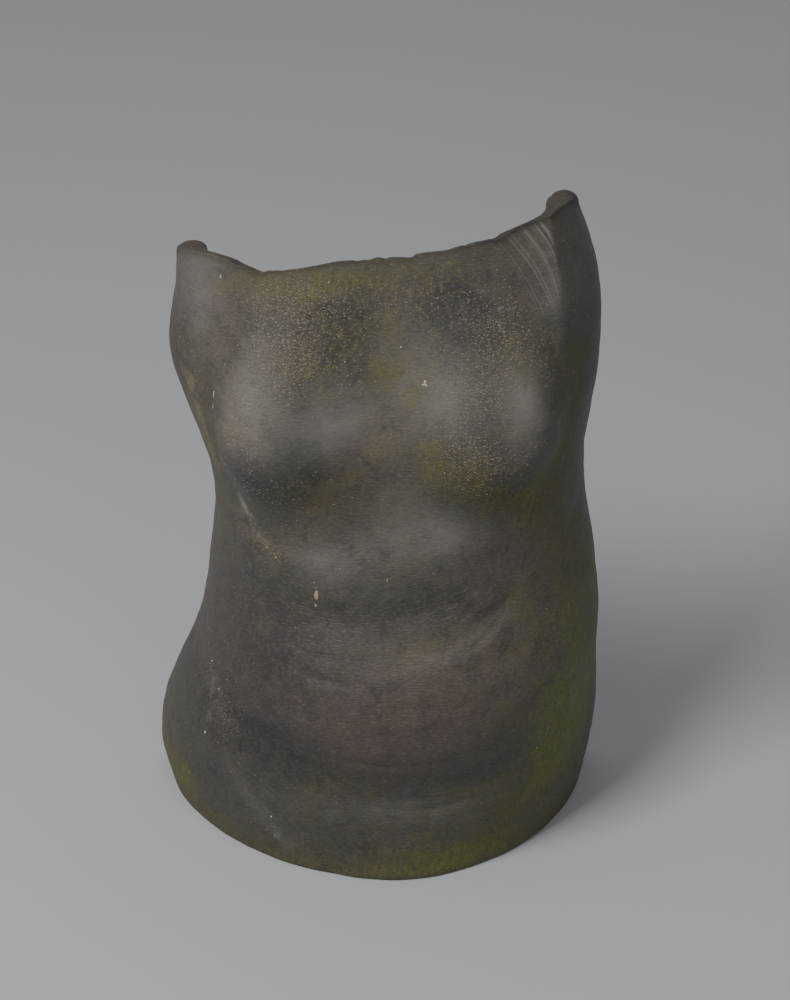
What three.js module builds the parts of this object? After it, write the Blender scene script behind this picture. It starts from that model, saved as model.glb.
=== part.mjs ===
// Ceramic female torso, from the shoulders to the hips: a clay shell pressed by hand, open at its
// back, at its slanting top and at its foot. Millimetres, +Z up. The front faces -Y, and +X is on
// the right of someone who looks at the front. The shell stands on the flat edge of its foot.
import * as THREE from "three";

// Driving sizes
const HEIGHT = 586; // foot to the highest point of the slanting rim, before it is rounded
const WIDTH = 389; // hip to flank, where the torso is widest
const DEPTH = 183; // plane of the open back to the fullest point of the belly
const WALL = 13; // clay wall at the front
const EDGE_WALL = 25; // thicker wall along the two upright back edges, which end in knobs
const FOOT_ROUND = 3; // rounding where the wall meets the foot
const RIM_ROUND = 3; // rounding where the wall meets the cut rim
const RIM_FALL = 0.7; // slope of the cut rim, down towards the back
const LEFT_KNOB_RISE = 5; // how far the rim swells up at the left back edge
const RIGHT_KNOB_RISE = 9; // the same at the right back edge

// The pose and the carving are drawn on a front 102 units high and 67.4 units wide, so that each
// place is a share of the torso's own height and width. Depths are hundredths of DEPTH.
const UNITS_UP = 102;
const UNITS_ACROSS = 67.4;
const unitUp = HEIGHT / UNITS_UP;
const unitAcross = WIDTH / UNITS_ACROSS;
const unitDeep = DEPTH / 100;

// Fineness of the facets
const COLUMNS = 43; // round the front, from one back edge to the other
const ROWS = 38; // up the shell
const FOOT_STEPS = 2;
const EDGE_STEPS = 6; // round each back edge
const RIM_SHARES = [0.07, 0.25, 0.55, 0.85]; // loops over the rim, as shares of half the wall

// Reach of the torso at each level: to the left, to the right and to the front, and how square its
// section is, where 2 is an ellipse. The hip is thrown to the left and the right flank is straight.
const LEVELS = [
  { at: 0.0, left: 35.6, right: 29.5, front: 93.2, square: 1.84 },
  { at: 5.6, left: 36.5, right: 30.4, front: 93.4, square: 1.92 },
  { at: 11.5, left: 35.9, right: 31.0, front: 94.4, square: 2.0 },
  { at: 20.0, left: 33.2, right: 30.9, front: 97.8, square: 2.1 },
  { at: 26.0, left: 30.7, right: 30.7, front: 100, square: 2.15 },
  { at: 34.0, left: 28.6, right: 30.6, front: 96.7, square: 2.2 },
  { at: 42.4, left: 27.4, right: 29.5, front: 85.2, square: 2.25 },
  { at: 52.0, left: 26.4, right: 28.0, front: 76.5, square: 2.3 },
  { at: 61.0, left: 27.2, right: 27.5, front: 71.6, square: 2.4 },
  { at: 69.6, left: 29.8, right: 28.4, front: 66.7, square: 2.5 },
  { at: 76.5, left: 31.8, right: 29.0, front: 62.8, square: 2.6 },
  { at: 87.0, left: 30.7, right: 28.6, front: 56.8, square: 2.8 },
  { at: 102, left: 29.7, right: 24.2, front: 47, square: 3.0 },
];

const smooth = THREE.MathUtils.smoothstep;
const radians = THREE.MathUtils.degToRad;

// Value of a smooth curve through the points (knots[i], values[i])
function follow(knots, values, at) {
  const last = knots.length - 1;
  const place = THREE.MathUtils.clamp(at, knots[0], knots[last]);
  let i = 0;
  while (i < last - 1 && place > knots[i + 1]) i += 1;
  const chord = (k) => (values[k + 1] - values[k]) / (knots[k + 1] - knots[k]);
  const slope = (k) => {
    if (k === 0) return chord(0);
    if (k === last) return chord(last - 1);
    const before = knots[k] - knots[k - 1];
    const after = knots[k + 1] - knots[k];
    return (chord(k - 1) * after + chord(k) * before) / (before + after);
  };
  const step = knots[i + 1] - knots[i];
  const t = (place - knots[i]) / step;
  const rise = t * t * (3 - 2 * t);
  const leave = slope(i) * step * t * (1 - t) * (1 - t);
  const arrive = slope(i + 1) * step * t * t * (1 - t);
  return values[i] + (values[i + 1] - values[i]) * rise + leave - arrive;
}

const levelKnots = LEVELS.map((level) => level.at);
const profiles = Object.fromEntries(
  ["left", "right", "front", "square"].map((key) => [key, LEVELS.map((level) => level[key])]),
);

// Distance from the middle of the back plane to the plain outer skin. turn is 0 at the front and
// runs to a quarter turn at each back edge.
function plainRadius(turn, z) {
  const at = z / unitUp;
  const side = turn < 0 ? "left" : "right";
  const reach = follow(levelKnots, profiles[side], at) * unitAcross;
  const front = follow(levelKnots, profiles.front, at) * unitDeep;
  const power = follow(levelKnots, profiles.square, at);
  const across = Math.abs(Math.sin(turn) / reach) ** power;
  const forward = Math.abs(Math.cos(turn) / front) ** power;
  return (across + forward) ** (-1 / power);
}

// A soft round bump, 1 at its centre
function bump(u, v, centre, size) {
  return Math.exp(-(((u - centre[0]) / size[0]) ** 2) - ((v - centre[1]) / size[1]) ** 2);
}

// A soft line, 1 along its middle and fading out at both ends
function stroke(points, width, fade) {
  const route = new THREE.SplineCurve(points.map(([u, v]) => new THREE.Vector2(u, v)));
  const spots = route.getPoints(24);
  return (u, v) => {
    let near = Infinity;
    let share = 0;
    for (let k = 0; k < spots.length - 1; k += 1) {
      const from = spots[k];
      const run = spots[k + 1].clone().sub(from);
      const offset = new THREE.Vector2(u, v).sub(from);
      const t = THREE.MathUtils.clamp(offset.dot(run) / run.lengthSq(), 0, 1);
      const distance = offset.addScaledVector(run, -t).length();
      if (distance < near) {
        near = distance;
        share = (k + t) / (spots.length - 1);
      }
    }
    return Math.exp(-((near / width) ** 2)) * smooth(share, 0, fade) * smooth(1 - share, 0, fade);
  };
}

// A breast: a long slope above its fullest point, and a shorter, rounder one below
function breast(u, v, { centre, inner, outer, above, below, depth }) {
  const outward = (u - centre[0]) * Math.sign(centre[0]) > 0;
  const across = (u - centre[0]) / (outward ? outer : inner);
  const upward = (v - centre[1]) / (v > centre[1] ? above : below);
  return depth * Math.exp(-((across ** 2 + upward ** 2) ** 1.25));
}

const LEFT_BREAST = { centre: [-16, 71.7], inner: 10.8, outer: 8, above: 17, below: 10.1, depth: 19.5 };
const RIGHT_BREAST = { centre: [13.9, 73], inner: 10.1, outer: 7.7, above: 16.3, below: 9.4, depth: 19.5 };

const foldRidge = stroke([[-5.6, 36.7], [2.4, 37.6], [11.5, 39.7], [19.1, 43.8]], 2.1, 0.4);
const foldLine = stroke([[0, 40.7], [10.4, 42.8], [19.1, 47]], 1.7, 0.4);
const bellyEdge = stroke(
  [[-26.1, 32.2], [-22.3, 25.4], [-16, 20.3], [-7, 17.9], [7, 17.9], [17.4, 21.2], [24.3, 27.8]],
  5.2,
  0.3,
);
const leftGroin = stroke([[-26.1, 27.8], [-21.2, 16.5], [-13.6, 0]], 2.3, 0.25);
const rightGroin = stroke([[27.8, 26.1], [21.7, 15.7], [14.8, 0]], 2.8, 0.25);
const leftSideLine = stroke([[-24.7, 81.7], [-23.3, 74.4], [-22.3, 67.1], [-19.8, 55]], 1.7, 0.35);
const rightSideLine = stroke([[23, 76.5], [22.6, 67.8], [20.9, 59.1]], 2.1, 0.35);
const shoulderRidge = stroke([[19.5, 111.3], [21.2, 96.9], [22.3, 91.5], [21.7, 76.5]], 2.3, 0.35);

function breasts(u, v) {
  return breast(u, v, LEFT_BREAST) + breast(u, v, RIGHT_BREAST);
}

function ribs(u, v) {
  return 2.2 * bump(u, v, [-10.4, 52.2], [7.7, 3.8]) + 2.2 * bump(u, v, [7, 55.3], [7, 5.6]);
}

function waist(u, v) {
  const hollow = -1.6 * bump(u, v, [-1.7, 48], [8, 2.6]) - 1.1 * bump(u, v, [-1.4, 44.5], [15.7, 2.8]);
  return hollow + 1.2 * foldRidge(u, v) - foldLine(u, v);
}

function belly(u, v) {
  return -2 * bellyEdge(u, v) - 1.6 * bump(u, v, [-19.5, 21.6], [5.2, 4.5]);
}

function groins(u, v) {
  return -1.4 * leftGroin(u, v) - 0.8 * rightGroin(u, v);
}

function flanks(u, v) {
  return -2.2 * leftSideLine(u, v) - 1.4 * rightSideLine(u, v);
}

function shoulders(u, v) {
  const hollows = -3.8 * bump(u, v, [15, 93], [5.9, 10.4]) - 1.6 * bump(u, v, [-19.1, 90.4], [5.2, 8.7]);
  return 3.3 * shoulderRidge(u, v) + hollows;
}

const CARVING = [breasts, ribs, waist, belly, groins, flanks, shoulders];

// Distance from the middle of the back plane to the carved outer skin
function carvedRadius(turn, z) {
  const plain = plainRadius(turn, z);
  const u = (plain * Math.sin(turn)) / unitAcross;
  const v = z / unitUp;
  const depth = CARVING.reduce((sum, part) => sum + part(u, v), 0);
  return plain + depth * unitDeep;
}

// Height of the cut rim's outer edge: it climbs to the right shoulder, lifts again at the left one
// and falls towards both back edges.
const RIM = [
  { turn: -90, height: 90.8 },
  { turn: -76, height: 94.8 },
  { turn: -63, height: 96.3 },
  { turn: -50, height: 95.5 },
  { turn: -35, height: 96.7 },
  { turn: -18, height: 97.6 },
  { turn: 5, height: 98.1 },
  { turn: 28, height: 99.1 },
  { turn: 52, height: 100.6 },
  { turn: 64, height: 102 },
  { turn: 76, height: 101.2 },
  { turn: 90, height: 98.2 },
];
const rimTurns = RIM.map((knot) => radians(knot.turn));
const rimHeights = RIM.map((knot) => knot.height);

function topHeight(turn) {
  return follow(rimTurns, rimHeights, turn) * unitUp;
}

function wallAt(turn) {
  return WALL + (EDGE_WALL - WALL) * smooth(Math.abs(turn), radians(62), radians(84));
}

// Height of the rim above the last upright loop, at a depth into the wall from its outer skin and at
// a share of the way from the nearer skin to the wall's middle
function rimLift(turn, into, share, half) {
  const corner = Math.max(RIM_ROUND - share * half, 0);
  const rounded = Math.sqrt(RIM_ROUND ** 2 - corner ** 2);
  const swell = smooth(Math.abs(turn), radians(72), radians(88));
  const rise = turn < 0 ? LEFT_KNOB_RISE : RIGHT_KNOB_RISE;
  const dome = rise * swell * Math.sqrt(1 - (1 - share) ** 2);
  return rounded + dome - RIM_FALL * into * Math.cos(turn);
}

const turns = Array.from({ length: COLUMNS }, (_, i) => radians(-90 + (180 * i) / (COLUMNS - 1)));
const tops = turns.map(topHeight);

// One closed loop round the wall: the outer skin, one back edge, the inner skin and the other back
// edge. inset draws the skins together, and outerHeight and innerHeight are the skins' heights.
function wallLoop(inset, outerHeight, innerHeight) {
  const columns = turns.map((turn, i) => {
    const half = wallAt(turn) / 2;
    const outerZ = outerHeight(i, half);
    const innerZ = innerHeight(i, half);
    const middle = carvedRadius(turn, Math.min(outerZ, tops[i])) - half;
    return { turn, middle, thin: half - inset(half), outerZ, innerZ };
  });
  const point = (turn, radius, z) => [radius * Math.sin(turn), -radius * Math.cos(turn), z];
  const outer = columns.map((c) => point(c.turn, c.middle + c.thin, c.outerZ));
  const inner = columns.map((c) => point(c.turn, c.middle - c.thin, c.innerZ));
  const edge = ({ turn, middle, thin, outerZ }) =>
    Array.from({ length: EDGE_STEPS - 1 }, (_, k) => {
      const bend = (Math.PI * (k + 1)) / EDGE_STEPS;
      return [Math.sign(turn) * (middle + thin * Math.cos(bend)), thin * Math.sin(bend), outerZ];
    });
  const rightEdge = edge(columns.at(-1));
  const leftEdge = edge(columns[0]).reverse();
  return [...outer, ...rightEdge, ...inner.reverse(), ...leftEdge];
}

// The wall's loops from the foot to the rim
function wallLoops() {
  const loops = [];
  for (let k = 0; k < FOOT_STEPS; k += 1) {
    const bend = (Math.PI / 2) * (k / FOOT_STEPS);
    const rise = FOOT_ROUND * (1 - Math.cos(bend));
    loops.push(wallLoop(() => FOOT_ROUND * (1 - Math.sin(bend)), () => rise, () => rise));
  }
  for (let k = 0; k < ROWS; k += 1) {
    const climb = (top) => FOOT_ROUND + (top - RIM_ROUND - FOOT_ROUND) * (k / (ROWS - 1));
    const innerTop = (i, half) => tops[i] + rimLift(turns[i], 2 * half, 0, half);
    loops.push(wallLoop(() => 0, (i) => climb(tops[i]), (i, half) => climb(innerTop(i, half))));
  }
  for (const share of RIM_SHARES) {
    const height = (i, into, half) => tops[i] - RIM_ROUND + rimLift(turns[i], into, share, half);
    const outerHeight = (i, half) => height(i, share * half, half);
    const innerHeight = (i, half) => height(i, (2 - share) * half, half);
    loops.push(wallLoop((half) => share * half, outerHeight, innerHeight));
  }
  return loops;
}

// The end face of the wall, between the two skins of one loop; faces are listed anticlockwise
// seen from above.
function endFace(start) {
  const outer = (i) => start + i;
  const inner = (i) => start + COLUMNS + EDGE_STEPS - 1 + (COLUMNS - 1 - i);
  const faces = [];
  for (let i = 0; i < COLUMNS - 1; i += 1) {
    faces.push([outer(i), outer(i + 1), inner(i + 1)], [outer(i), inner(i + 1), inner(i)]);
  }
  const rightEdge = start + COLUMNS;
  const leftEdge = rightEdge + EDGE_STEPS - 1 + COLUMNS;
  for (let k = 0; k < EDGE_STEPS - 2; k += 1) {
    faces.push([outer(COLUMNS - 1), rightEdge + k, rightEdge + k + 1]);
    faces.push([outer(0), leftEdge + k, leftEdge + k + 1]);
  }
  faces.push([outer(COLUMNS - 1), rightEdge + EDGE_STEPS - 2, inner(COLUMNS - 1)]);
  faces.push([outer(0), inner(0), leftEdge]);
  return faces;
}

function shellGeometry() {
  const loops = wallLoops();
  const around = loops[0].length;
  const faces = [];
  for (let row = 0; row < loops.length - 1; row += 1) {
    for (let k = 0; k < around; k += 1) {
      const next = (k + 1) % around;
      const low = row * around;
      const high = low + around;
      faces.push([low + k, low + next, high + next], [low + k, high + next, high + k]);
    }
  }
  const foot = endFace(0).map(([a, b, c]) => [a, c, b]);
  const rim = endFace((loops.length - 1) * around);
  const geometry = new THREE.BufferGeometry();
  geometry.setAttribute("position", new THREE.Float32BufferAttribute(loops.flat(2), 3));
  geometry.setIndex([...faces, ...foot, ...rim].flat());
  geometry.computeVertexNormals();
  return geometry;
}

const firedClay = new THREE.MeshStandardMaterial({ color: 0x4a3f38, roughness: 0.72, metalness: 0 });

const torso = new THREE.Mesh(shellGeometry(), firedClay);
torso.name = "torso";

// The origin lies under the middle of the torso, on the surface it stands on
torso.geometry.computeBoundingBox();
const middle = torso.geometry.boundingBox.getCenter(new THREE.Vector3());
torso.position.set(-middle.x, -middle.y, -torso.geometry.boundingBox.min.z);

const object = new THREE.Group();
object.add(torso);

export default object;
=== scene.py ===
"""Ceramic female torso: the worked clay skin and what lies on it. Metres, +Z up, front to -Y."""
import math
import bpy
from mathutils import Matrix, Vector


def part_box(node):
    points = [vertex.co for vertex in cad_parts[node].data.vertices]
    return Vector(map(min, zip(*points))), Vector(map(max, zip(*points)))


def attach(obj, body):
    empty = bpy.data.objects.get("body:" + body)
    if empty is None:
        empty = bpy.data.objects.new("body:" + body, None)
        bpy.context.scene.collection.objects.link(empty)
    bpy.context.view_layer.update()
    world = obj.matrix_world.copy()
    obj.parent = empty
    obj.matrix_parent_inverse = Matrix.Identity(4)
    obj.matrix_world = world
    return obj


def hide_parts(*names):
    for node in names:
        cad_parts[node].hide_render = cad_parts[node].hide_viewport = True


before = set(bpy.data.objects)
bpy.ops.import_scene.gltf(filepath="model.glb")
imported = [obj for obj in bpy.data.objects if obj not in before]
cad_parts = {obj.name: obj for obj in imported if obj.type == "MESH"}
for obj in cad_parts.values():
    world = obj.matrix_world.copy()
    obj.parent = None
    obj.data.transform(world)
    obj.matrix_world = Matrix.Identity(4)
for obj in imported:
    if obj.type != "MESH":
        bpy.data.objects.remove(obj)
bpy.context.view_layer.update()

from types import SimpleNamespace

import bpy
import numpy as np
from mathutils import Vector, noise
from mathutils.bvhtree import BVHTree

# Driving sizes, the same as the solid's, but for the rim's round, which is crisper on the worn clay
HEIGHT = 0.586
WIDTH = 0.389
DEPTH = 0.183
WALL = 0.013
EDGE_WALL = 0.025
FOOT_ROUND = 0.003
RIM_ROUND = 0.0016
RIM_FALL = 0.7
LEFT_KNOB_RISE = 0.005
RIGHT_KNOB_RISE = 0.009

# Turns from the front, in degrees, between which the wall thickens and the knobs swell
EDGE_WALL_TURNS = (62, 84)
KNOB_TURNS = (72, 88)

# The front is drawn 102 units high and 67.4 units wide; depths are hundredths of DEPTH
UNIT_UP = HEIGHT / 102
UNIT_ACROSS = WIDTH / 67.4
UNIT_DEEP = DEPTH / 100

# Fineness of the skin
INNER_COLUMNS = 86
OUTER_PER_INNER = 3
OUTER_COLUMNS = (INNER_COLUMNS - 1) * OUTER_PER_INNER + 1
ROWS = 236
FOOT_STEPS = 3
RIM_STEPS = 6
EDGE_STEPS = 10
CURVE_STEPS = 24
# The rim's last loop lies this share of the way to the wall's middle, and the loops crowd at the skin
RIM_REACH = 0.9
RIM_CROWDING = 1.6

SEED = 7


# The form

# Height, reach to the left, to the right and to the front in the drawing's units, squareness of the section
LEVELS = np.array([
    (0.0, 35.6, 29.5, 93.2, 1.84),
    (5.6, 36.5, 30.4, 93.4, 1.92),
    (11.5, 35.9, 31.0, 94.4, 2.0),
    (20.0, 33.2, 30.9, 97.8, 2.1),
    (26.0, 30.7, 30.7, 100.0, 2.15),
    (34.0, 28.6, 30.6, 96.7, 2.2),
    (42.4, 27.4, 29.5, 85.2, 2.25),
    (52.0, 26.4, 28.0, 76.5, 2.3),
    (61.0, 27.2, 27.5, 71.6, 2.4),
    (69.6, 29.8, 28.4, 66.7, 2.5),
    (76.5, 31.8, 29.0, 62.8, 2.6),
    (87.0, 30.7, 28.6, 56.8, 2.8),
    (102.0, 29.7, 24.2, 47.0, 3.0),
])

# Turn from the front in degrees, and height of the cut rim's outer edge
RIM = np.array([
    (-90, 90.8), (-76, 94.8), (-63, 96.3), (-50, 95.5), (-35, 96.7), (-18, 97.6),
    (5, 98.1), (28, 99.1), (52, 100.6), (64, 102.0), (76, 101.2), (90, 98.2),
])


def smooth(x, low, high):
    """0 below low, 1 above high and smooth between."""
    t = np.clip((x - low) / (high - low), 0, 1)
    return t * t * (3 - 2 * t)


def follow(table, column, at):
    """Value of a smooth curve through one column of a table."""
    knots, values = table[:, 0], table[:, column]
    steps = np.diff(knots)
    chords = np.diff(values) / steps
    slopes = np.empty_like(values)
    slopes[0], slopes[-1] = chords[0], chords[-1]
    slopes[1:-1] = (chords[:-1] * steps[1:] + chords[1:] * steps[:-1]) / (steps[1:] + steps[:-1])
    at = np.clip(at, knots[0], knots[-1])
    i = np.clip(np.searchsorted(knots, at, side="right") - 1, 0, len(knots) - 2)
    t = (at - knots[i]) / steps[i]
    rise = t * t * (3 - 2 * t)
    leave = slopes[i] * steps[i] * t * (1 - t) ** 2
    arrive = slopes[i + 1] * steps[i] * t * t * (1 - t)
    return values[i] + (values[i + 1] - values[i]) * rise + leave - arrive


def plain_radius(turn, z):
    """Reach of the smooth form, without its carving, from the middle of the back plane."""
    at = z / UNIT_UP
    reach = np.where(turn < 0, follow(LEVELS, 1, at), follow(LEVELS, 2, at)) * UNIT_ACROSS
    front = follow(LEVELS, 3, at) * UNIT_DEEP
    power = follow(LEVELS, 4, at)
    across = np.abs(np.sin(turn) / reach) ** power
    forward = np.abs(np.cos(turn) / front) ** power
    return (across + forward) ** (-1 / power)


def bump(u, v, centre, size):
    """A soft round spot, 1 at its centre."""
    return np.exp(-((u - centre[0]) / size[0]) ** 2 - ((v - centre[1]) / size[1]) ** 2)


def curve_points(points):
    """Points along a smooth curve through the given ones."""
    points = np.array(points, float)
    last = len(points) - 1
    spots = []
    for at in np.linspace(0, last, CURVE_STEPS + 1):
        i = min(int(at), last - 1)
        t = at - i
        before, here, there = points[max(i - 1, 0)], points[i], points[i + 1]
        after = points[min(i + 2, last)]
        leave, arrive = (there - before) / 2, (after - here) / 2
        spots.append(
            (2 * here - 2 * there + leave + arrive) * t ** 3
            + (-3 * here + 3 * there - 2 * leave - arrive) * t ** 2 + leave * t + here
        )
    return np.array(spots)


def beside(u, v, points):
    """Distance from a curve, the side of it and the share along it, for every point of the skin."""
    spots = curve_points(points)
    near = np.full(np.shape(u), np.inf)
    share = np.zeros(np.shape(u))
    side = np.zeros(np.shape(u))
    for k in range(len(spots) - 1):
        run = spots[k + 1] - spots[k]
        du, dv = u - spots[k][0], v - spots[k][1]
        t = np.clip((du * run[0] + dv * run[1]) / (run @ run), 0, 1)
        away = np.hypot(du - t * run[0], dv - t * run[1])
        closer = away < near
        near = np.where(closer, away, near)
        share = np.where(closer, (k + t) / (len(spots) - 1), share)
        side = np.where(closer, np.sign(run[0] * dv - run[1] * du), side)
    return near, side, share


def stroke(u, v, points, width, fade=0.3):
    """A soft line, 1 along its middle and fading out at both ends."""
    near, _, share = beside(u, v, points)
    return np.exp(-(near / width) ** 2) * smooth(share, 0, fade) * smooth(1 - share, 0, fade)


def breast(u, v, centre, inner, outer, above, below):
    """A round mound, 1 at its centre, with its own reach to each side."""
    outward = (u - centre[0]) * math.copysign(1, centre[0]) > 0
    across = (u - centre[0]) / np.where(outward, outer, inner)
    upward = (v - centre[1]) / np.where(v > centre[1], above, below)
    return np.exp(-(across ** 2 + upward ** 2) ** 1.25)


LEFT_SIDE_LINE = [(-24.7, 81.7), (-23.3, 74.4), (-22.3, 67.1), (-19.8, 55)]
RIGHT_SIDE_LINE = [(23, 76.5), (22.6, 67.8), (20.9, 59.1)]
SHOULDER_RIDGE = [(19.5, 111.3), (21.2, 96.9), (22.3, 91.5), (21.7, 76.5)]
FOLD_RIDGE = [(-5.6, 36.7), (2.4, 37.6), (11.5, 39.7), (19.1, 43.8)]
FOLD_LINE = [(0, 40.7), (10.4, 42.8), (19.1, 47)]
BELLY_EDGE = [(-26.1, 32.2), (-22.3, 25.4), (-16, 20.3), (-7, 17.9), (7, 17.9), (17.4, 21.2), (24.3, 27.8)]
LEFT_GROIN = [(-26.1, 27.8), (-21.2, 16.5), (-13.6, 0)]
RIGHT_GROIN = [(27.8, 26.1), (21.7, 15.7), (14.8, 0)]


def carving(u, v):
    """Depth of the figure's carving, as the solid has it."""
    depth = 19.5 * breast(u, v, (-16, 71.7), 10.8, 8, 17, 10.1)
    depth += 19.5 * breast(u, v, (13.9, 73), 10.1, 7.7, 16.3, 9.4)
    depth += 2.2 * bump(u, v, (-10.4, 52.2), (7.7, 3.8)) + 2.2 * bump(u, v, (7, 55.3), (7, 5.6))
    depth -= 1.6 * bump(u, v, (-1.7, 48), (8, 2.6)) + 1.1 * bump(u, v, (-1.4, 44.5), (15.7, 2.8))
    depth += 1.2 * stroke(u, v, FOLD_RIDGE, 2.1, 0.4) - stroke(u, v, FOLD_LINE, 1.7, 0.4)
    depth -= 2 * stroke(u, v, BELLY_EDGE, 5.2) + 1.6 * bump(u, v, (-19.5, 21.6), (5.2, 4.5))
    depth -= 1.4 * stroke(u, v, LEFT_GROIN, 2.3, 0.25) + 0.8 * stroke(u, v, RIGHT_GROIN, 2.8, 0.25)
    depth -= 2.2 * stroke(u, v, LEFT_SIDE_LINE, 1.7, 0.35) + 1.4 * stroke(u, v, RIGHT_SIDE_LINE, 2.1, 0.35)
    depth += 3.3 * stroke(u, v, SHOULDER_RIDGE, 2.3, 0.35)
    depth -= 3.8 * bump(u, v, (15, 93), (5.9, 10.4)) + 1.6 * bump(u, v, (-19.1, 90.4), (5.2, 8.7))
    return depth


def soft_noise(points, size, seed):
    """Smooth noise between 0 and 1 at each point, with lumps of about that size."""
    shift = Vector((seed * 3.1, seed * 1.7, seed * 5.3))
    flat = points.reshape(-1, 3) / size
    values = np.array([noise.noise(Vector(p) + shift) for p in flat])
    return (0.5 + 0.5 * values).clip(0, 1).reshape(points.shape[:-1])


# Wear of the cut rim, in metres: all along it, in waves and in nicks. A nick's length is in radians
RIM_WEAR = 0.001
RIM_WAVES = 0.001
RIM_NICKS = 0.0015
NICK_LENGTH = 0.1


def top_height(turn):
    """Height of the cut rim's outer edge, worn a little below the solid's."""
    nicks = soft_noise(np.stack([turn, 0 * turn, 0 * turn], -1), NICK_LENGTH, 8)
    worn = RIM_WEAR + RIM_WAVES * np.sin(turn * 9 + 1) ** 2 + RIM_NICKS * smooth(nicks, 0.5, 0.7)
    return follow(RIM, 1, np.degrees(turn)) * UNIT_UP - worn


def swell_past(turn, turns):
    """0 in front of the first turn and 1 behind the second, on both sides."""
    return smooth(np.abs(turn), math.radians(turns[0]), math.radians(turns[1]))


def wall_at(turn):
    """Thickness of the wall."""
    return WALL + (EDGE_WALL - WALL) * swell_past(turn, EDGE_WALL_TURNS)


# What the hands left all over the skins: height and size in metres, and the noise's seed
LUMPS = (0.0016, 0.055, 1)
SMALL_LUMPS = (0.0009, 0.02, 2)
SCRAPING = (0.0009, 0.03, 3)
DABS = (0.0004, 0.011, 4)
INSIDE_LUMPS = (0.002, 0.03, 5)
INSIDE_DABS = (0.0012, 0.012, 6)

# The outer skin lies about as far above the smooth form as below it
MEAN_WORK = 0.0013

# The scraping runs level. It is full from the belly down and weaker above
SCRAPING_SQUEEZE = np.array([1.0, 1.0, 3.2])
SCRAPING_FADES = (34, 46)
SCRAPED_ABOVE = 0.35

# The crisp edge between the hollow of the right shoulder and its side, from the rim downwards
SHOULDER_EDGE = [(20.3, 101.5), (20.9, 96.6), (21.4, 92.9), (21.5, 90), (21.3, 86)]

# The hollowing on both sides of that edge: depths in metres, the lip and the width in the drawing's
# units, and the share of the edge over which it fades out at the lower end
HOLLOW_TO_CHEST = 0.0042
HOLLOW_TO_SIDE = 0.0022
HOLLOW_LIP = 1.1
HOLLOW_WIDTH = 5
HOLLOW_FADE = 0.45

# Short dents of the scraper: path, half width in the drawing's units, depth in metres
DENTS = [
    ([(-18, 46), (-6, 44.3), (4, 45.2), (13, 47)], 1.9, 0.0010),
    ([(-12, 24.5), (-2, 22.6), (9, 23.4)], 0.6, 0.0009),
    ([(-6, 14.4), (4, 13.2), (13, 14.6)], 0.5, 0.0010),
    ([(-15, 37.5), (-9, 36.0), (-3, 36.4)], 0.5, 0.0009),
    ([(-11.6, 51.6), (-8.5, 52.8), (-5, 54.6)], 0.35, 0.0006),
    ([(-10.5, 50.9), (-7.2, 52.2), (-3.5, 54)], 0.3, 0.0005),
    ([(0.5, 41.6), (4.5, 40.4), (9.5, 41.2)], 0.4, 0.0008),
    ([(-24, 16), (-20.5, 9.5), (-16, 2)], 0.7, 0.0011),
    ([(9.5, 42.5), (14, 44.6), (18.5, 48.5)], 1.0, 0.0006),
    ([(3.5, 46.2), (8, 46.9), (12, 48.6)], 0.35, 0.0006),
    ([(5.6, 39.4), (10.5, 40.4), (13.3, 42.2), (16.4, 45)], 0.3, 0.0011),
    ([(9.2, 44.0), (10.2, 45.6), (11.6, 46.6)], 0.28, 0.0007),
    ([(-17, 40.5), (-12, 39.2), (-8, 39.8)], 0.4, 0.0006),
    ([(-3, 50.2), (0.5, 51), (3.5, 52.8)], 0.3, 0.0004),
    ([(9, 56.5), (11.5, 53.8), (14.5, 52)], 0.35, 0.0006),
    ([(2, 33.5), (7, 32.2), (12, 33.4)], 0.5, 0.0006),
]


def relief(points, kind, share=1):
    """Soft noise of one height, size and seed, as much of it as share lets through."""
    height, size, seed = kind
    return height * (soft_noise(points, size, seed) * share)


def worked_surface(u, v, points):
    """How far the hands and the scraper went below the smooth form, in metres; less than 0 is above it."""
    scraped = SCRAPED_ABOVE + (1 - SCRAPED_ABOVE) * smooth(-v, -SCRAPING_FADES[1], -SCRAPING_FADES[0])
    depth = relief(points, LUMPS) + relief(points, SMALL_LUMPS)
    depth = depth + relief(points * SCRAPING_SQUEEZE, SCRAPING, scraped) + relief(points, DABS)
    for path, width, deep in DENTS:
        depth += deep * stroke(u, v, path, width)
    near, side, share = beside(u, v, SHOULDER_EDGE)
    deepest = np.where(side < 0, HOLLOW_TO_CHEST, HOLLOW_TO_SIDE)
    hollow = deepest * (1 - np.exp(-near / HOLLOW_LIP)) * np.exp(-(near / HOLLOW_WIDTH) ** 2)
    return depth - MEAN_WORK + hollow * smooth(1 - share, 0, HOLLOW_FADE)


# Small pits where grains of grog fell out: place and size in the drawing's units, depth in metres
PIT_COUNT = 70
rng = np.random.default_rng(SEED)
PITS = [
    (across, up, rng.uniform(0.25, 0.6), rng.uniform(0.0003, 0.0009))
    for across, up in zip(rng.uniform(-24, 26, PIT_COUNT), rng.uniform(4, 92, PIT_COUNT))
]


def pitted(u, v):
    """How deep the pits go at every point, in metres."""
    depth = np.zeros(np.shape(u))
    for across, up, size, deep in PITS:
        depth += deep * np.exp(-(((u - across) ** 2 + (v - up) ** 2) / size ** 2) ** 1.5)
    return depth


# Building the shell

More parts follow.
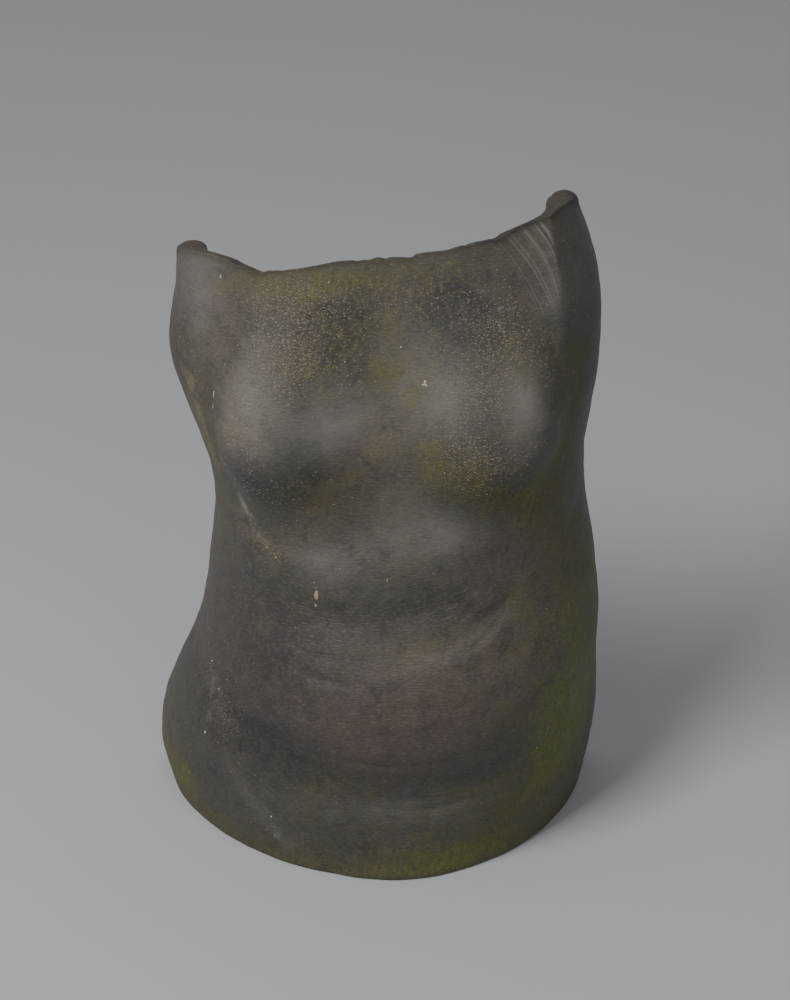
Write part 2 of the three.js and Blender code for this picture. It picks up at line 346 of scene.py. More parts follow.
def rim_lift(turn, into, share, half):
    """Height of the rim above the last upright loop: rounded at both skins, falling inwards, and swelling
    into a knob at each back edge. share is the way from the nearer skin to the wall's middle."""
    corner = np.maximum(RIM_ROUND - share * half, 0)
    rounded = np.sqrt(RIM_ROUND ** 2 - corner ** 2)
    rise = np.where(turn < 0, LEFT_KNOB_RISE, RIGHT_KNOB_RISE)
    dome = rise * swell_past(turn, KNOB_TURNS) * math.sqrt(1 - (1 - share) ** 2)
    return rounded + dome - RIM_FALL * into * np.cos(turn)


def wall_rows(turn, inside):
    """For each row of one skin, from the foot to the rim: its share of the height, how far into the wall it
    lies, how far it is lifted and how much of the hands' work it shows."""
    half = wall_at(turn) / 2

    def into_wall(from_skin):
        return 2 * half - from_skin if inside else from_skin + 0 * half

    rows = []
    for k in range(FOOT_STEPS):
        bend = math.pi / 2 * k / FOOT_STEPS
        rise = FOOT_ROUND * (1 - math.cos(bend))
        rows.append((0.0, into_wall(FOOT_ROUND * (1 - math.sin(bend))), rise + 0 * half, 1.0))
    drop = rim_lift(turn, into_wall(0), 0, half)
    for share in np.linspace(0, 1, ROWS):
        settle = FOOT_ROUND * (1 - share) - RIM_ROUND * share
        rows.append((share, into_wall(0), settle + share * drop, 1.0))
    for k in range(1, RIM_STEPS + 1):
        share = RIM_REACH * (k / RIM_STEPS) ** RIM_CROWDING
        into = into_wall(share * half)
        rows.append((1.0, into, rim_lift(turn, into, share, half) - RIM_ROUND, 1 - share))
    return [np.array(values) for values in zip(*rows)]


def place(radius, turn, z):
    """Points at that reach and turn from the upright through the back plane's middle."""
    return np.stack([radius * np.sin(turn), -radius * np.cos(turn), z], -1)


def skin_loops(turn, inside):
    """Points of one skin, a row for each loop, and the drawing's u and v at each of them."""
    shares, into, lift, worked = wall_rows(turn, inside)
    z = np.outer(shares, top_height(turn))
    turn = np.broadcast_to(turn, z.shape)
    plain = plain_radius(turn, z)
    u = plain * np.sin(turn) / UNIT_ACROSS
    v = z / UNIT_UP
    radius = plain + carving(u, v) * UNIT_DEEP
    if not inside:
        work = worked_surface(u, v, place(radius, turn, z)) + pitted(u, v)
        radius = radius - work * worked[:, None]
    points = place(radius - into, turn, z + lift)
    if inside:
        points = points - place(inside_relief(points, shares), turn, 0 * z)
    return points, u, v


def inside_relief(points, shares):
    """Unevenness of the inner skin, which fades out at the foot, the rim and the back edges."""
    rough = relief(points, INSIDE_LUMPS) + relief(points, INSIDE_DABS)
    rough *= smooth(shares, 0, 0.03)[:, None]
    rough *= smooth(1 - shares, 0, 0.06)[:, None]
    rough[:, :2] = rough[:, -2:] = 0
    return rough


def back_edge(outer_end, inner_end):
    """The half-round back edge between the two skins."""
    middle, arm = (outer_end + inner_end) / 2, (outer_end - inner_end) / 2
    reach = np.hypot(arm[:, 0], arm[:, 1])
    points = []
    for k in range(1, EDGE_STEPS):
        bend = math.pi * k / EDGE_STEPS
        point = middle + arm * math.cos(bend)
        point[:, 1] += np.minimum(reach, EDGE_WALL / 2) * math.sin(bend)
        points.append(point)
    return np.stack(points, 1)


def spread(outer_values, inner_values):
    """Values of both skins round the whole wall; a back edge has those of the outer skin's end."""
    right_end = np.repeat(outer_values[:, -1:], EDGE_STEPS - 1, 1)
    left_end = np.repeat(outer_values[:, :1], EDGE_STEPS - 1, 1)
    return np.concatenate([outer_values, right_end, inner_values[:, ::-1], left_end], 1)


def shell_loops():
    """The wall's loops from the foot to the rim, and for each of their points the drawing's u and v and
    whether it is on the outer skin."""
    outer_turn = np.linspace(-math.pi / 2, math.pi / 2, OUTER_COLUMNS)
    outer, outer_u, outer_v = skin_loops(outer_turn, False)
    inner, inner_u, inner_v = skin_loops(outer_turn[::OUTER_PER_INNER], True)
    right = back_edge(outer[:, -1], inner[:, -1])
    left = back_edge(outer[:, 0], inner[:, 0])[:, ::-1]
    loops = np.concatenate([outer, right, inner[:, ::-1], left], 1)
    on_outer = spread(np.ones_like(outer_u), np.zeros_like(inner_u))
    return loops, spread(outer_u, inner_u), spread(outer_v, inner_v), on_outer


def end_face(start):
    """The face that closes one end loop, between the two skins, seen from above."""
    last = start + OUTER_COLUMNS - 1
    inner_start = last + EDGE_STEPS
    inner_last = inner_start + INNER_COLUMNS - 1
    faces = []
    for j in range(INNER_COLUMNS - 1):
        first = start + j * OUTER_PER_INNER
        here, there = inner_last - j, inner_last - j - 1
        for k in range(OUTER_PER_INNER - 1):
            faces.append((first + k, first + k + 1, here))
        faces.append((first + OUTER_PER_INNER - 1, first + OUTER_PER_INNER, there, here))
    faces.append(list(range(last, inner_start + 1)))
    faces.append([start] + list(range(inner_last, inner_last + EDGE_STEPS)))
    return faces


def smooth_mesh(name, points, faces):
    mesh = bpy.data.meshes.new(name)
    mesh.from_pydata([tuple(p) for p in points], [], faces)
    mesh.validate()
    mesh.shade_smooth()
    return mesh


def shell_mesh(name, loops):
    """A closed mesh through the loops, with a face over the foot and one over the rim."""
    rows, around = loops.shape[:2]
    faces = []
    for row in range(rows - 1):
        low, high = row * around, (row + 1) * around
        for k in range(around):
            after = (k + 1) % around
            faces.append((low + k, low + after, high + after, high + k))
    faces += [tuple(reversed(face)) for face in end_face(0)]
    faces += [tuple(face) for face in end_face((rows - 1) * around)]
    return smooth_mesh(name, loops.reshape(-1, 3).tolist(), faces)


def add_piece(name, mesh):
    piece = bpy.data.objects.new(name, mesh)
    bpy.context.scene.collection.objects.link(piece)
    return piece


def give(mesh, name, values):
    """Keeps one number for each vertex under that name."""
    mesh.attributes.new(name, "FLOAT", "POINT").data.foreach_set("value", np.ravel(values).astype(np.float32))


loops, drawn_u, drawn_v, on_outer = shell_loops()
node_low, node_high = (np.array(corner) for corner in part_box("torso"))
# The drawing's middle of the back plane, in the frame: the back edges' rounding ends at the box's back
back_plane = np.array([
    (node_low[0] + node_high[0]) / 2 - (loops[..., 0].min() + loops[..., 0].max()) / 2,
    node_high[1] - EDGE_WALL / 2,
    node_low[2],
])
loops = loops + back_plane


# Where the finish changes over the skin

def film(u, v, spots, lines):
    """Sum of soft spots (strength, centre, size) and of soft lines (strength, path, half width)."""
    total = sum(strength * bump(u, v, centre, size) for strength, centre, size in spots)
    return total + sum(strength * stroke(u, v, path, width, 0.2) for strength, path, width in lines)


# For each stain, and for the painted shade and painted highlights, its soft spots and its soft lines
STAINS_AND_PAINTED_LIGHT = {}
STAINS_AND_PAINTED_LIGHT["moss"] = (
    [
        (0.5, (-10.5, 84), (6, 4)), (0.5, (14, 86), (6, 5)), (0.6, (-10, 66), (4, 6)), (0.3, (6, 40), (8, 5)),
        (0.7, (9, 3), (13, 6)), (0.4, (-8, 17), (14, 3)), (1.2, (-36, 4), (6, 8)), (0.55, (17, 12), (8, 9)),
        (0.35, (-21, 22), (4, 3)), (0.25, (0, 62), (6, 6)), (0.35, (2, 12), (16, 5)),
        (0.3, (2.4, 41), (4.5, 2.2)), (0.5, (27, 99), (3, 4)),
    ],
    [
        (0.75, [(-27, 93), (-19, 94), (-10, 93.5), (0, 95), (12, 97)], 4.2),
        (0.6, [(-2, 91), (0, 85), (0.5, 78)], 5.5),
        (1.0, [(3, 74.5), (6, 69.5), (11, 64.5), (17, 63.5), (21, 67)], 4.2),
        (0.9, [(23.6, 86), (22.4, 74), (20.5, 64), (19.5, 54)], 2.2),
        (0.6, [(24.5, 88), (23.5, 74), (22.5, 60), (24.5, 48)], 4.2),
        (0.65, [(25, 56), (26.5, 44), (26, 28), (24, 14), (19, 4)], 6.5),
        (0.45, [(18, 54), (17.8, 40), (15.7, 30), (15, 20)], 4.0),
        (0.5, [(-28, 77), (-26, 70), (-25, 60), (-26, 48)], 2.6),
    ],
)
STAINS_AND_PAINTED_LIGHT["fresh_moss"] = (
    [
        (0.65, (-8.8, 83.5), (3.4, 2.4)), (0.5, (3.2, 80.5), (2, 3)), (0.55, (14.5, 84.5), (2.8, 2)),
        (0.35, (-12, 93), (6, 2)), (0.6, (8.5, 95.5), (5, 2)), (0.7, (24, 22), (6, 9)),
        (0.6, (13, 64.5), (5, 3)), (0.6, (18.5, 64), (2.6, 7)), (0.5, (3.4, 72), (2.4, 3)),
        (1.1, (9, 3.4), (8, 2.8)), (0.6, (17, 8), (4, 4)), (0.9, (-35, 4), (5, 7)),
        (0.4, (-20.5, 21), (2, 2)),
    ],
    [
        (0.35, [(-1, 90), (0, 83), (1, 76)], 3.0),
        (0.85, [(26, 46), (26, 34), (25, 20), (21, 6)], 4.8),
        (0.5, [(-22, 0.6), (-8, 0.4), (6, 0.8), (20, 1.5)], 1.3),
    ],
)
STAINS_AND_PAINTED_LIGHT["ochre"] = (
    [
        (0.15, (-22, 78), (4, 10)), (0.12, (-14, 90), (12, 6)), (0.3, (-17.2, 74.4), (2.6, 2.8)),
        (0.15, (6, 38), (7, 3)), (0.15, (0.5, 80), (5, 8)),
    ],
    [
        (1.0, [(-29, 79), (-27.2, 74), (-25.6, 68), (-25, 61)], 1.5),
        (0.35, [(-22, 58), (-19, 54.5), (-16, 52)], 1.6),
        (0.42, [(-13.5, 56), (-9.7, 62.2), (-6.5, 66), (-3, 71), (-1, 78)], 2.4),
    ],
)
STAINS_AND_PAINTED_LIGHT["rust"] = (
    [
        (1.0, (-1, 31), (20, 11)), (0.5, (18, 52), (8, 8)), (0.5, (-24, 33), (8, 10)),
        (0.5, (16, 93), (3, 4)), (0.4, (24, 92), (3, 5)), (0.7, (-19, 90), (5, 6)),
    ],
    [],
)
STAINS_AND_PAINTED_LIGHT["grog"] = (
    [
        (1.0, (-13, 87.5), (4.0, 4.6)), (0.4, (-13, 92), (6, 3)), (0.6, (-14.5, 82), (4, 4.5)),
        (1.0, (12.6, 89), (3.6, 3.6)), (0.7, (14.5, 84), (4, 4)), (0.5, (10.5, 68), (6, 3.2)),
        (0.45, (-18, 53.5), (3.2, 1.8)), (0.6, (-17.2, 74), (2.6, 3.2)), (0.3, (-15, 65), (5, 4)),
        (0.5, (9, 80.5), (4.4, 4.6)), (0.5, (8.5, 73.4), (5, 3.6)), (0.22, (5, 92), (8, 4)),
        (0.2, (-5, 84), (6, 6)), (0.3, (-25.5, 26), (3, 6)), (0.16, (-26, 84), (4, 6)),
        (0.3, (-6, 92.5), (7, 2.4)),
    ],
    [],
)
# Painted highlights: the left shoulder's band, the breasts' upper slopes, the sternum, the ribs, the belly's
# lower band and the lit ridges of the left groin and the right shoulder
STAINS_AND_PAINTED_LIGHT["painted_highlight"] = (
    [
        (0.9, (-26.5, 91), (3.6, 8)), (1.1, (-16.2, 77), (4.0, 7)), (1.1, (-6.8, 75.5), (4.4, 4.4)),
        (0.8, (6.2, 79), (3.0, 4.6)), (1.1, (14.2, 78), (2.8, 5.2)), (0.45, (0.8, 81), (4, 9)),
        (0.38, (0.6, 62), (4.6, 4.6)), (0.75, (-9.5, 53.5), (4.5, 2.2)), (0.75, (7, 57.5), (4, 3.4)),
        (0.45, (-1, 56.5), (5, 3.4)), (0.3, (24.5, 92), (3, 8)), (0.35, (-7, 49.8), (8, 2)),
        (0.35, (1, 13.2), (12, 2.4)),
    ],
    [(0.3, [(-26, 17), (-20.5, 9), (-15, 2)], 1.2), (0.3, [(20.2, 98), (20.8, 94), (21.2, 89)], 0.8)],
)
# Painted shade, in places soot: under the breasts and between their highlights, in the waist and belly
# creases, low on the left and down the right shoulder's side
STAINS_AND_PAINTED_LIGHT["shade_and_soot"] = (
    [
        (0.9, (-15, 66), (7, 5)), (0.9, (-11.5, 70.4), (6, 3.4)), (0.8, (13, 64), (8, 4.2)),
        (0.6, (-3, 46), (12, 3)), (1.1, (7, 90), (4.5, 4.5)), (0.75, (-5.5, 86.5), (4.5, 4.5)),
        (0.6, (-31, 74), (3, 9)), (0.6, (-12, 37), (9, 5)), (0.6, (-16, 44), (8, 6)),
        (0.9, (-13, 88), (6, 6)), (0.5, (13, 87), (5, 6)), (0.5, (-27, 14), (6, 10)),
        (0.95, (-18, 22), (7, 6)), (0.5, (-20, 33), (7, 7)), (0.4, (-8, 5), (14, 5)),
        (0.3, (-10, 93), (12, 4)), (0.35, (-30, 25), (6, 10)), (0.2, (2, 30), (16, 7)),
        (1.0, (-10.8, 76), (1.9, 5.5)), (0.75, (9.4, 76), (3, 5.6)), (0.8, (-18.5, 87), (3, 4)),
        (0.7, (-4.4, 90.5), (3, 2.4)), (1.1, (5.6, 92), (3.6, 2.8)), (0.9, (10, 89), (3.4, 3.4)),
        (0.7, (-8, 88.5), (3, 3)), (0.5, (4, 47.5), (12, 3)),
    ],
    [(0.6, BELLY_EDGE, 5.0), (0.45, [(24, 99), (24.5, 90), (25, 80), (25, 68)], 3.2)],
)
STAINS_AND_PAINTED_LIGHT["white"] = (
    [],
    [
        (0.36, [(-23.2, 68), (-21.8, 62.5), (-20.7, 58.3), (-18.6, 56)], 0.4),
        (0.12, [(-21.5, 59), (-19.5, 55.5), (-17.5, 53)], 0.8),
        (0.12, [(-27.6, 20), (-27.2, 25), (-26.4, 29)], 0.9),
        (0.25, [(-20, 10.5), (-18.4, 7), (-17.4, 3.6)], 0.4),
    ],
)
STAINS_AND_PAINTED_LIGHT["scratched"] = (
    [
        (0.9, (2, 41), (10, 3.5)), (1.3, (4, 13.6), (14, 3)), (0.5, (-8, 44), (8, 2.5)),
        (0.4, (0, 30), (16, 8)),
    ],
    [],
)


def stain_and_light_masks(u, v, outer):
    """How strong each stain, the painted shade and the painted highlights are at every point, and where the
    scratches rise and fall.
    """
    masks = {name: film(u, v, spots, lines) for name, (spots, lines) in STAINS_AND_PAINTED_LIGHT.items()}
    # Moss creeps up from the foot, and a little grit lies all over but for the foot's edge
    masks["moss"] += 0.7 * smooth(-v, -7, -1)
    masks["grog"] = (masks["grog"] + 0.005) * smooth(v, 0.6, 2.5)
    masks["rising"] = bump(u, v, (-8, 53), (8, 4)) + 0.7 * bump(u, v, (10, 46), (8, 5))
    masks["falling"] = bump(u, v, (14, 97.5), (2.6, 3)) + 0.6 * bump(u, v, (-4, 38), (9, 5))
    masks["falling"] += 0.9 * stroke(u, v, LEFT_GROIN, 2.0)
    return {name: np.clip(mask, 0, 1.4) * outer for name, mask in masks.items()}


# Fine arcs that a comb left beside the shoulder's edge: the middle one's radius, the step from one to the
# next, their lower end, their rise, how much wider the outer ones open, and where they begin on the chest
COMB_CENTRE = (0.6, 85.3)
COMB_MIDDLE = 20.6
COMB_STEP = 0.34
COMB_FOOT = 90.0
COMB_RISE = 11
COMB_OPENING = 2.1
COMB_BEGINS = (11.5, 14.5)


def comb_reach(u, v):
    """How far outside the middle arc a point lies, as it would at the arcs' lower end. Inside that arc the
    lines lie twice as far apart."""
    away = np.hypot(u - COMB_CENTRE[0], v - COMB_CENTRE[1]) - COMB_MIDDLE
    opening = 1 + COMB_OPENING * np.clip((v - COMB_FOOT) / COMB_RISE, 0, 1)
    return np.where(away > 0, away / opening, away / 2)


def comb_lines(u, v):
    """The number that draws the lines: a line and a gap take up about two."""
    return comb_reach(u, v) / (COMB_STEP / 2)


def comb_mask(u, v, outer):
    """How clearly the lines show: more and more from the inner arcs to the outer ones."""
    _, side, _ = beside(u, v, SHOULDER_EDGE)
    out = comb_reach(u, v)
    crowded = 0.45 * smooth(out, -1.8, -0.9) + 0.2 * smooth(out, -0.7, -0.1) + 0.4 * smooth(out, 0.1, 0.5)
    fade = smooth(v, COMB_FOOT - 2.4, COMB_FOOT + 0.6) * smooth(u, *COMB_BEGINS)
    return np.where((side < 0) & (v > COMB_FOOT - 3), crowded * fade, 0) * outer


def unrolled(loops):
    """Distance round the wall from the outer skin's middle, and height, for every point of the shell."""
    ends = EDGE_STEPS - 1
    from_left = np.roll(loops, ends, axis=1)
    steps = np.linalg.norm(np.diff(from_left[..., :2], axis=1), axis=-1)
    run = np.concatenate([np.zeros((len(loops), 1)), np.cumsum(steps, 1)], 1)
    along = np.roll(run - run[:, ends + OUTER_COLUMNS // 2][:, None], -ends, axis=1)
    return np.stack([along, loops[..., 2], np.zeros_like(along)], -1)


skin_mesh = shell_mesh("torso_skin", loops)
masks = stain_and_light_masks(drawn_u, drawn_v, on_outer)
for name, values in masks.items():
    give(skin_mesh, name, values)
give(skin_mesh, "outer", on_outer)
# The cut's finish ends just below the rim's rounds
rim = np.zeros(loops.shape[:2])
rim[-RIM_STEPS - 1:] = 1
rim[-RIM_STEPS - 2] = 0.5
give(skin_mesh, "rim", rim)
give(skin_mesh, "comb_lines", comb_lines(drawn_u, drawn_v))
give(skin_mesh, "comb", comb_mask(drawn_u, drawn_v, on_outer))
flat = skin_mesh.attributes.new("unrolled", "FLOAT_VECTOR", "POINT")
flat.data.foreach_set("vector", np.ravel(unrolled(loops)).astype(np.float32))


# Writing a finish as sums

# The pattern of a dash: its stretch, round the wall and upwards, and its reach in the pattern's cells
DASH_STRETCH = (0.7, 1.15, 1)
DASH_REACH = 0.36


class Value:
    """A shader socket that takes part in sums."""

    def __init__(self, finish, socket):
        self.finish = finish
        self.socket = socket

    def sum_with(self, operation, first, second):
        return self.finish.node("ShaderNodeMath", {"operation": operation}, {0: first, 1: second})

    def __add__(self, other):
        return self.sum_with("ADD", self, other)

    def __sub__(self, other):
        return self.sum_with("SUBTRACT", self, other)

    def __rsub__(self, other):
        return self.sum_with("SUBTRACT", other, self)

    def __mul__(self, other):
        return self.sum_with("MULTIPLY", self, other)

    __radd__ = __add__
    __rmul__ = __mul__

    def between(self, low, high):
        """0 below low, 1 above high and smooth between."""
        return self.finish.node(
            "ShaderNodeMapRange", {"interpolation_type": "SMOOTHSTEP"},
            {"Value": self, "From Min": low, "From Max": high},
        )

    def clipped(self):
        """Kept from 0 to 1."""
        return self.finish.node("ShaderNodeClamp", {}, {"Value": self})


class Finish:
    """A material in the making."""

    def __init__(self, name):
        self.material = bpy.data.materials.new(name)
        self.material.use_nodes = True
        self.tree = self.material.node_tree
        self.shader = self.tree.nodes["Principled BSDF"]

    def node(self, kind, settings, inputs, output=0):
        """A node of that kind, as one of its outputs."""
        made = self.tree.nodes.new(kind)
        for name, setting in settings.items():
            setattr(made, name, setting)
        for name, given in inputs.items():
            self.put(made.inputs[name], given)
        return Value(self, made.outputs[output])

    def put(self, socket, given):
        if isinstance(given, Value):
            self.tree.links.new(given.socket, socket)
        else:
            socket.default_value = given

    def dressed(self, colour, roughness):
        """The material, with its colour and its roughness."""
        self.put(self.shader.inputs["Base Color"], colour)
        self.put(self.shader.inputs["Roughness"], roughness)
        return self.material

    def place(self, stretch):
        """Object coordinates, in metres, stretched along each axis."""
        coordinates = self.node("ShaderNodeTexCoord", {}, {}, "Object")
        return self.node("ShaderNodeMapping", {}, {"Vector": coordinates, "Scale": stretch})

    def grain(self, size, detail=2.0, rough=0.5, stretch=(1, 1, 1), warp=0.0):
        """Noise from 0 to 1 with lumps of that size in metres."""
        return self.node("ShaderNodeTexNoise", {}, {
            "Vector": self.place(stretch), "Scale": 1 / size, "Detail": detail, "Roughness": rough,
            "Distortion": warp,
        })

    def unrolled(self):
        """Distance round the wall and height, in metres."""
        return self.node("ShaderNodeAttribute", {"attribute_name": "unrolled"}, {}, "Vector")

    def streaks(self, width, length, lean=0.0, detail=2.0):
        """Noise drawn out along the skin, leaning by that angle from the level."""
        drawn = self.node("ShaderNodeMapping", {}, {"Vector": self.unrolled(), "Rotation": (0, 0, -lean)})
        drawn = self.node("ShaderNodeMapping", {}, {"Vector": drawn, "Scale": (width / length, 1, 1)})
        return self.node("ShaderNodeTexNoise", {"noise_dimensions": "2D"}, {
            "Vector": drawn, "Scale": 1 / width, "Detail": detail, "Roughness": 0.6,
        })

    def dashes(self, size, chance):
        """Small level dashes on the skin, as many as chance from 0 to 1 lets through."""
        drawn = self.node("ShaderNodeMapping", {}, {"Vector": self.unrolled(), "Scale": DASH_STRETCH})
        settings = {"voronoi_dimensions": "2D"}
        inputs = {"Vector": drawn, "Scale": 1 / size}
        away = self.node("ShaderNodeTexVoronoi", settings, inputs, "Distance")
        hue = self.node("ShaderNodeTexVoronoi", settings, inputs, "Color")
        pick = self.node("ShaderNodeSeparateColor", {}, {"Color": hue})
        return (DASH_REACH - away).between(0.0, 0.14) * (chance - pick).between(0.0, 0.15)

    def kept(self, name):
        """A number that the mesh keeps for each vertex."""
        return self.node("ShaderNodeAttribute", {"attribute_name": name}, {}, "Fac")

    def blend(self, under, over, share):
        """One colour over another."""
        return self.node("ShaderNodeMix", {"data_type": "RGBA"}, {0: share, 6: under, 7: over}, 2)

    def ridges(self, height, depth, under=None, strength=1.0):
        """A bump of that depth in metres, on top of another."""
        inputs = {"Height": height, "Distance": depth, "Strength": strength}
        if under is not None:
            inputs["Normal"] = under
        return self.node("ShaderNodeBump", {}, inputs)


def paint(red, green, blue):
    """An opaque colour, in linear light."""
    return (red, green, blue, 1.0)


CLAY_DARK = paint(0.036, 0.031, 0.027)
CLAY = paint(0.070, 0.061, 0.053)
CLAY_WARM = paint(0.082, 0.056, 0.046)
CLAY_OLIVE = paint(0.066, 0.058, 0.040)
# Grey clay of the comb lines, scratches and light specks, also the colour of the painted highlights
GREY_CLAY_AND_HIGHLIGHT = paint(0.170, 0.153, 0.138)
CUT_CLAY = paint(0.066, 0.056, 0.034)
CLAY_INSIDE = paint(0.125, 0.100, 0.078)
GROG = paint(0.215, 0.178, 0.118)
GROG_DULL = paint(0.125, 0.103, 0.076)
OCHRE = paint(0.170, 0.138, 0.062)
MOSS_OLD = paint(0.088, 0.081, 0.028)
MOSS_FRESH = paint(0.108, 0.116, 0.018)
LIME = paint(0.46, 0.44, 0.38)
CREAM = paint(0.44, 0.33, 0.19)
# Near-black, for painted shade (in places soot) and for the darkest crust of the cut
SHADE_AND_SOOT = paint(0.025, 0.0212, 0.0188)


def clay_noises(finish):
    """The noises that every part of the clay's finish is worked out from."""
    return SimpleNamespace(
        clouds=finish.grain(0.06, 4, 0.6, warp=0.4),
        mottle=finish.grain(0.016, 4, 0.65),
        fine=finish.grain(0.0030, 3, 0.65),
        crumbs=finish.grain(0.0036, 4, 0.75),
        wiped=finish.streaks(0.0022, 0.014, detail=3.0),
        speckle=finish.streaks(0.0013, 0.0042, detail=4.0),
    )


def ground_and_painted_light(finish, noises):
    """Dark clay with rust, ochre and specks, with painted shade (in places soot) and painted highlights."""
    clouds, mottle, wiped, speckle = noises.clouds, noises.mottle, noises.wiped, noises.speckle
    tone = (clouds * 0.4 + mottle * 0.3 + wiped * 0.3).between(0.36, 0.62)
    colour = finish.blend(CLAY_DARK, CLAY, tone)
    colour = finish.blend(colour, CLAY_OLIVE, (mottle - clouds * 0.5 + 0.1).between(0.2, 0.5))
    rust = finish.kept("rust") * (0.35 + 0.65 * mottle.between(0.3, 0.7))
    colour = finish.blend(colour, CLAY_WARM, rust.clipped())
    patches = finish.grain(0.017, 5, 0.7, warp=0.6).between(0.34, 0.66)
    # Painted shade, in places soot, broken up in patches
    colour = finish.blend(colour, SHADE_AND_SOOT, (finish.kept("shade_and_soot") * (0.4 + 0.6 * patches)).clipped())
    # Painted highlights, with real light specks of clay; the specks thin out under the highlights
    off_highlight = (1 - 0.8 * finish.kept("painted_highlight")).clipped()
    light_specks = speckle.between(0.5, 0.7) * off_highlight
    highlight_and_specks = finish.kept("painted_highlight") * (0.2 + mottle * 0.5 + wiped * 0.3) + light_specks * 0.21
    colour = finish.blend(colour, GREY_CLAY_AND_HIGHLIGHT, highlight_and_specks.clipped())
    ochre = finish.kept("ochre") * (mottle * 0.6 + noises.fine * 0.4).between(0.38, 0.58)
    colour = finish.blend(colour, OCHRE, (ochre * 0.75).clipped())
    dark_specks = (1 - speckle).between(0.5, 0.68) * off_highlight * 0.44
    return finish.blend(colour, CLAY_DARK, dark_specks.clipped())


def with_moss(finish, noises, colour):
    """Old and fresh moss in drifts, crumbs and upright runs. Gives the old moss too."""
    drifts = finish.grain(0.022, 4, 0.7, stretch=(1, 1, 0.6), warp=0.5) - 0.5
    crumbs = noises.crumbs - 0.5
    runs = finish.streaks(0.0024, 0.016, lean=1.45, detail=3.0)
    broken = 0.1 + 0.8 * noises.speckle.between(0.36, 0.6) + 0.75 * runs.between(0.4, 0.62)
    old_moss = (finish.kept("moss") + drifts * 2.2 + crumbs * 1.8).between(0.25, 1.0)
    colour = finish.blend(colour, MOSS_OLD, (old_moss * broken * 0.66).clipped())
    fresh_moss = (finish.kept("fresh_moss") + drifts * 2.0 + crumbs * 2.4).between(0.4, 1.05)
    return finish.blend(colour, MOSS_FRESH, (fresh_moss * broken * 0.62).clipped()), old_moss


def with_grit(finish, noises, colour):
    """Pale grains, drawn out sideways by the hand that wiped the clay. Gives the grains too."""
    crowd = finish.kept("grog") * noises.clouds.between(0.3, 0.55)
    grains = finish.dashes(0.0019, crowd) + finish.dashes(0.0028, crowd * 0.6)
    grain_colour = finish.blend(GROG_DULL, GROG, noises.fine.between(0.4, 0.62))
    return finish.blend(colour, grain_colour, (grains * 0.5).clipped()), grains


def with_bloom(finish, noises, colour):
    """A thin white bloom of lime."""
    bloom = finish.kept("white") * (noises.fine * 0.5 + noises.mottle * 0.5).between(0.42, 0.6)
    return finish.blend(colour, LIME, (bloom * 0.8).clipped())


def with_comb_lines(finish, noises, colour):
    """The comb's pale arcs beside the right shoulder. Gives the lines too."""
    comb = finish.node("ShaderNodeTexNoise", {"noise_dimensions": "1D"}, {
        "W": finish.kept("comb_lines"), "Scale": 1.0, "Detail": 2.0, "Roughness": 0.7,
    })
    lines = comb.between(0.45, 0.68) * finish.kept("comb") * (0.3 + noises.mottle * 1.2)
    return finish.blend(colour, GREY_CLAY_AND_HIGHLIGHT, (lines * 0.9).clipped()), lines


def with_scratches(finish, noises, colour):
    """Fine scratches of the scraper: level, rising and falling ones. Gives the scratches too."""
    level = finish.streaks(0.0009, 0.022).between(0.57, 0.7) * finish.kept("scratched")
    rising = finish.streaks(0.0010, 0.024, lean=0.38).between(0.58, 0.72) * finish.kept("rising")
    falling = finish.streaks(0.0011, 0.018, lean=-0.75).between(0.6, 0.72) * finish.kept("falling")
    scratches = (level + rising + falling) * noises.mottle.between(0.35, 0.6)
    return finish.blend(colour, GREY_CLAY_AND_HIGHLIGHT, (scratches * 0.6).clipped()), scratches


def with_inside_and_cut(finish, noises, colour, inside):
    """The brown clay inside and the cut along the top, dark partly from its crust and partly as painted shade
    along the top edge.
    """
    hand_marks = noises.clouds * 0.3 + noises.mottle * 0.35 + noises.speckle * 0.35
    inside_colour = finish.blend(CLAY, CLAY_INSIDE, hand_marks.between(0.36, 0.64))
    colour = finish.blend(colour, inside_colour, inside)
    # The cut's dark is partly its crust and partly painted shade along the top edge
    cut_and_edge_shade = finish.blend(SHADE_AND_SOOT, CUT_CLAY, (noises.clouds * 0.5 + noises.crumbs * 0.5).between(0.36, 0.62))
    return finish.blend(colour, cut_and_edge_shade, (finish.kept("rim") * 0.9).clipped())


def worn_clay():
    """Smoke-fired clay that stood outdoors."""
    finish = Finish("worn_clay")
    noises = clay_noises(finish)
    inside = 1 - finish.kept("outer")
    colour = ground_and_painted_light(finish, noises)
    colour, old_moss = with_moss(finish, noises, colour)
    colour, grains = with_grit(finish, noises, colour)
    colour = with_bloom(finish, noises, colour)
    colour, lines = with_comb_lines(finish, noises, colour)
    colour, scratches = with_scratches(finish, noises, colour)
    colour = with_inside_and_cut(finish, noises, colour, inside)
    roughness = 0.46 + 0.14 * noises.mottle + 0.22 * old_moss + 0.2 * inside + 0.25 * finish.kept("rim")

    tooth = finish.ridges(noises.fine, 0.0004, strength=0.5)
    tooth = finish.ridges(noises.wiped, 0.0005, tooth, 0.3)
    tooth = finish.ridges(grains, 0.0004, tooth, 0.6)
    tooth = finish.ridges(lines - scratches, 0.0005, tooth, 0.8)
    finish.put(finish.shader.inputs["Normal"], tooth)
    return finish.dressed(colour, roughness.clipped())


def grog_grit():
    """Grains of fired clay: each keeps its own tone."""
    finish = Finish("grog_grit")
    return finish.dressed(finish.blend(GROG_DULL, GROG, finish.kept("tone").between(0.2, 0.9)), 0.75)


